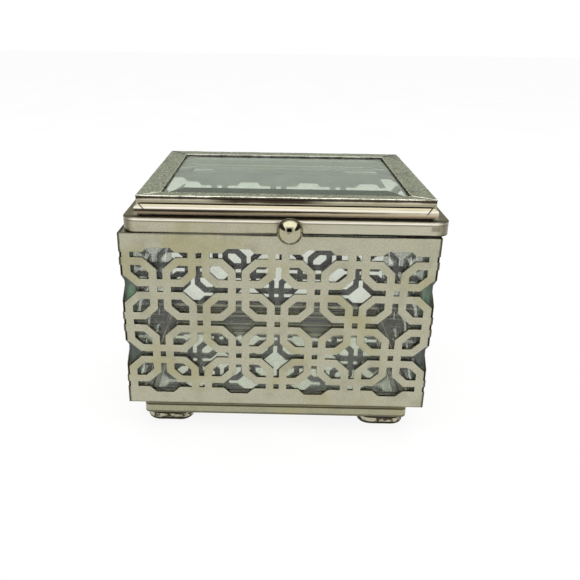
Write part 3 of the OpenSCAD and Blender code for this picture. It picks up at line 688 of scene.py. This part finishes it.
for nodeName, (slotName, radius, segments, outward) in pieceLooks.items():
    shape = mergedCopy(nodeName)
    for mark in faceMarks:
        shape.faces.layers.float.new(mark)
    if slotName == "frame_metal":
        rippleTop(shape, nodeName)
    if slotName in glassSlots:
        shrinkGlass(shape, nodeName)
    if segments:
        softenEdges(shape, radius, segments)
    if slotName in glassSlots:
        markGround(shape, thinAxis[nodeName])
    if outward:
        markSides(shape, outward, slotName == "pierced_panel")
    finishPiece(shape, nodeName, slotName)
print("pieces dressed:", len(pieceLooks))


# the rolled strip that holds the panes at their foot

stripLook = {"foot": heights["trayTop"], "top": heights["trayTop"] + 3.4, "thick": 0.7, "ribs": 3,
             "ribDepth": 0.22, "ribEnd": 0.7, "grooveStart": 0.8, "edgeRadius": 0.05}


def makePaneStrip():
    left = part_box("pane_left")[1].x
    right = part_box("pane_right")[0].x
    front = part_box("pane_front")[1].y
    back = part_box("pane_back")[0].y
    middle = Vector(((left + right) / 2, (front + back) / 2, 0))
    shape = bmesh.new()
    # the section at the front left corner, as a loop of edges
    foot, top, thick = stripLook["foot"], stripLook["top"], stripLook["thick"]
    groove = thick - stripLook["ribDepth"]
    rise = (top - foot) / stripLook["ribs"]
    section = [(0.0, foot)]
    for rib in range(stripLook["ribs"]):
        start = foot + rib * rise
        section += [(thick, start), (thick, start + stripLook["ribEnd"] * rise),
                    (groove, start + stripLook["grooveStart"] * rise)]
    section += [(groove, top), (0.0, top)]
    ring = [shape.verts.new((left + inward * mm, front + inward * mm, height * mm))
            for inward, height in section]
    loop = [shape.edges.new((ring[i], ring[(i + 1) % len(ring)])) for i in range(len(ring))]
    # each side is drawn out from the last corner, then turned over to the next one;
    # the edges go one at a time, because together they come out in a different order each run
    for flip in ("x", "y", "x", "y"):
        drawn = []
        for edge in loop:
            drawn += bmesh.ops.extrude_edge_only(shape, edges=[edge])["geom"]
        loop = [item for item in drawn if isinstance(item, bmesh.types.BMEdge)]
        for vert in [item for item in drawn if isinstance(item, bmesh.types.BMVert)]:
            setattr(vert.co, flip, 2 * getattr(middle, flip) - getattr(vert.co, flip))
    bmesh.ops.remove_doubles(shape, verts=shape.verts, dist=shapeRules["merge"] * mm)
    bmesh.ops.recalc_face_normals(shape, faces=shape.faces)
    for mark in faceMarks:
        shape.faces.layers.float.new(mark)
    softenEdges(shape, stripLook["edgeRadius"], 2)
    mesh = bpy.data.meshes.new("paneStrip")
    shape.to_mesh(mesh)
    shape.free()
    for polygon in mesh.polygons:
        polygon.use_smooth = True
    mesh.set_sharp_from_angle(angle=math.radians(shapeRules["smoothAngle"]))
    mesh.materials.append(finishes["strip_metal"])
    strip = bpy.data.objects.new("paneStrip", mesh)
    bpy.context.scene.collection.objects.link(strip)
    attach(strip, "box")


makePaneStrip()
print("pane strip made")


# stage, light and camera

floorLook = {"size": 6.0, "ownGlow": 0.88, "grey": 0.13, "plain": (0.8, 0.8, 0.79),
             "mottleScale": 12.0, "mottleLeast": 0.98}
# pairs are where a patch of the room begins and ends, as parts of the direction
roomLook = {"white": 1.0, "backTone": (0.43, 0.465, 0.385), "flagTone": (0.05, 0.04, 0.037),
            "flagMiddle": -0.13, "flagWide": (0.2, 0.3), "flagLow": (-0.05, 0.03),
            "flagHigh": (0.02, 0.1), "flagDeep": (-0.15, 0.0), "sideFrom": (0.64, 0.69),
            "sideLow": (0.22, 0.3), "sideHigh": (0.6, 0.7), "backFrom": (0.1, 0.35),
            "backHigh": (0.5, 0.75)}
lampLook = {"power": 4.5, "size": (1.4, 0.9), "place": (0.0, -0.12, 0.75), "aim": (0.0, 0.0, 0.05),
            "color": (1.0, 0.985, 0.95)}


def makeFloor():
    # pale to the eye, in gloss and through glass, and plain where it lights the object
    shape = bmesh.new()
    bmesh.ops.create_grid(shape, x_segments=1, y_segments=1, size=floorLook["size"] / 2)
    mesh = bpy.data.meshes.new("paleFloor")
    shape.to_mesh(mesh)
    shape.free()
    floor = bpy.data.objects.new("paleFloor", mesh)
    bpy.context.scene.collection.objects.link(floor)
    material = bpy.data.materials.new("paleFloor")
    material.use_nodes = True
    tree = material.node_tree
    tree.nodes.clear()
    output = tree.nodes.new("ShaderNodeOutputMaterial")
    path = addNode(tree, "ShaderNodeLightPath")
    seen = calc(tree, "MAXIMUM", path.outputs["Is Camera Ray"],
                calc(tree, "MAXIMUM", path.outputs["Is Glossy Ray"], path.outputs["Is Transmission Ray"]))
    mottle = fade(tree, cloud(tree, floorLook["mottleScale"], 3.0), 0.2, 0.8, floorLook["mottleLeast"], 1.0)
    shade = addNode(tree, "ShaderNodeBsdfDiffuse", {"Color": (*[floorLook["grey"]] * 3, 1)})
    glow = addNode(tree, "ShaderNodeEmission", {
        "Color": (1, 1, 1, 1), "Strength": calc(tree, "MULTIPLY", mottle, floorLook["ownGlow"])})
    bright = addNode(tree, "ShaderNodeAddShader", {0: shade.outputs[0], 1: glow.outputs[0]})
    plain = addNode(tree, "ShaderNodeBsdfDiffuse", {"Color": (*floorLook["plain"], 1)})
    both = addNode(tree, "ShaderNodeMixShader", {0: seen, 1: plain.outputs[0], 2: bright.outputs[0]})
    tree.links.new(both.outputs[0], output.inputs["Surface"])
    mesh.materials.append(material)


def makeWorld():
    world = bpy.data.worlds.new("paleRoom")
    bpy.context.scene.world = world
    world.use_nodes = True
    tree = world.node_tree
    tree.nodes.clear()
    output = tree.nodes.new("ShaderNodeOutputWorld")
    direction = addNode(tree, "ShaderNodeTexCoord").outputs["Generated"]
    parts = addNode(tree, "ShaderNodeSeparateXYZ", {0: direction}).outputs
    # a narrow dark flag in front, which the polished bead and fascia reflect
    aside = calc(tree, "ABSOLUTE", calc(tree, "SUBTRACT", parts[0], roomLook["flagMiddle"]))
    narrow = fade(tree, aside, *roomLook["flagWide"], 1.0, 0.0)
    low = fade(tree, parts[2], *roomLook["flagLow"])
    high = fade(tree, parts[2], *roomLook["flagHigh"], 1.0, 0.0)
    front = fade(tree, parts[1], *roomLook["flagDeep"], 1.0, 0.0)
    flag = calc(tree, "MULTIPLY", calc(tree, "MULTIPLY", narrow, front), calc(tree, "MULTIPLY", low, high))
    # dark screens high at both sides, which the knob reflects
    sides = fade(tree, calc(tree, "ABSOLUTE", parts[0]), *roomLook["sideFrom"])
    sides = calc(tree, "MULTIPLY", sides, fade(tree, parts[2], *roomLook["sideLow"]))
    sides = calc(tree, "MULTIPLY", sides, fade(tree, parts[2], *roomLook["sideHigh"], 1.0, 0.0))
    flag = calc(tree, "MAXIMUM", flag, sides)
    # a greyer wall behind, which the lid's glass reflects
    behind = calc(tree, "MULTIPLY", fade(tree, parts[1], *roomLook["backFrom"]),
                  fade(tree, parts[2], *roomLook["backHigh"], 1.0, 0.0))
    path = addNode(tree, "ShaderNodeLightPath").outputs
    plain = calc(tree, "MAXIMUM", path["Is Camera Ray"], path["Is Transmission Ray"])
    lighting = calc(tree, "SUBTRACT", 1.0, plain)
    color = blendColor(tree, calc(tree, "MULTIPLY", behind, lighting), (1, 1, 1, 1),
                       (*roomLook["backTone"], 1))
    color = blendColor(tree, calc(tree, "MULTIPLY", flag, lighting), color, (*roomLook["flagTone"], 1))
    back = addNode(tree, "ShaderNodeBackground", {"Color": color, "Strength": roomLook["white"]})
    tree.links.new(back.outputs[0], output.inputs["Surface"])


def makeLamp():
    light = bpy.data.lights.new("keyLamp", "AREA")
    light.shape = "RECTANGLE"
    light.size, light.size_y = lampLook["size"]
    light.energy = lampLook["power"]
    light.color = lampLook["color"]
    lamp = bpy.data.objects.new("keyLamp", light)
    lamp.location = lampLook["place"]
    aim = Vector(lampLook["aim"]) - Vector(lampLook["place"])
    lamp.rotation_euler = aim.to_track_quat("-Z", "Y").to_euler()
    bpy.context.scene.collection.objects.link(lamp)


cameraLook = {"place": (-0.002915, -0.229279, 0.131522), "pitch": 0.3896, "yaw": 0.0157, "roll": 0.0129,
              "lens": 40.33, "sensor": 36.0, "shift": 0.0464, "nearest": 0.01}


def makeCamera():
    data = bpy.data.cameras.new("camera")
    data.lens = cameraLook["lens"]
    data.sensor_width = cameraLook["sensor"]
    data.shift_x = cameraLook["shift"]
    data.clip_start = cameraLook["nearest"]
    camera = bpy.data.objects.new("camera", data)
    bpy.context.scene.collection.objects.link(camera)
    camera.matrix_world = (Matrix.Translation(cameraLook["place"])
                           @ Matrix.Rotation(cameraLook["yaw"], 4, "Z")
                           @ Matrix.Rotation(math.pi / 2 - cameraLook["pitch"], 4, "X")
                           @ Matrix.Rotation(cameraLook["roll"], 4, "Z"))
    bpy.context.scene.camera = camera


makeFloor()
makeWorld()
makeLamp()
makeCamera()
bpy.context.scene.view_settings.view_transform = "Standard"
print("stage, light and camera ready")
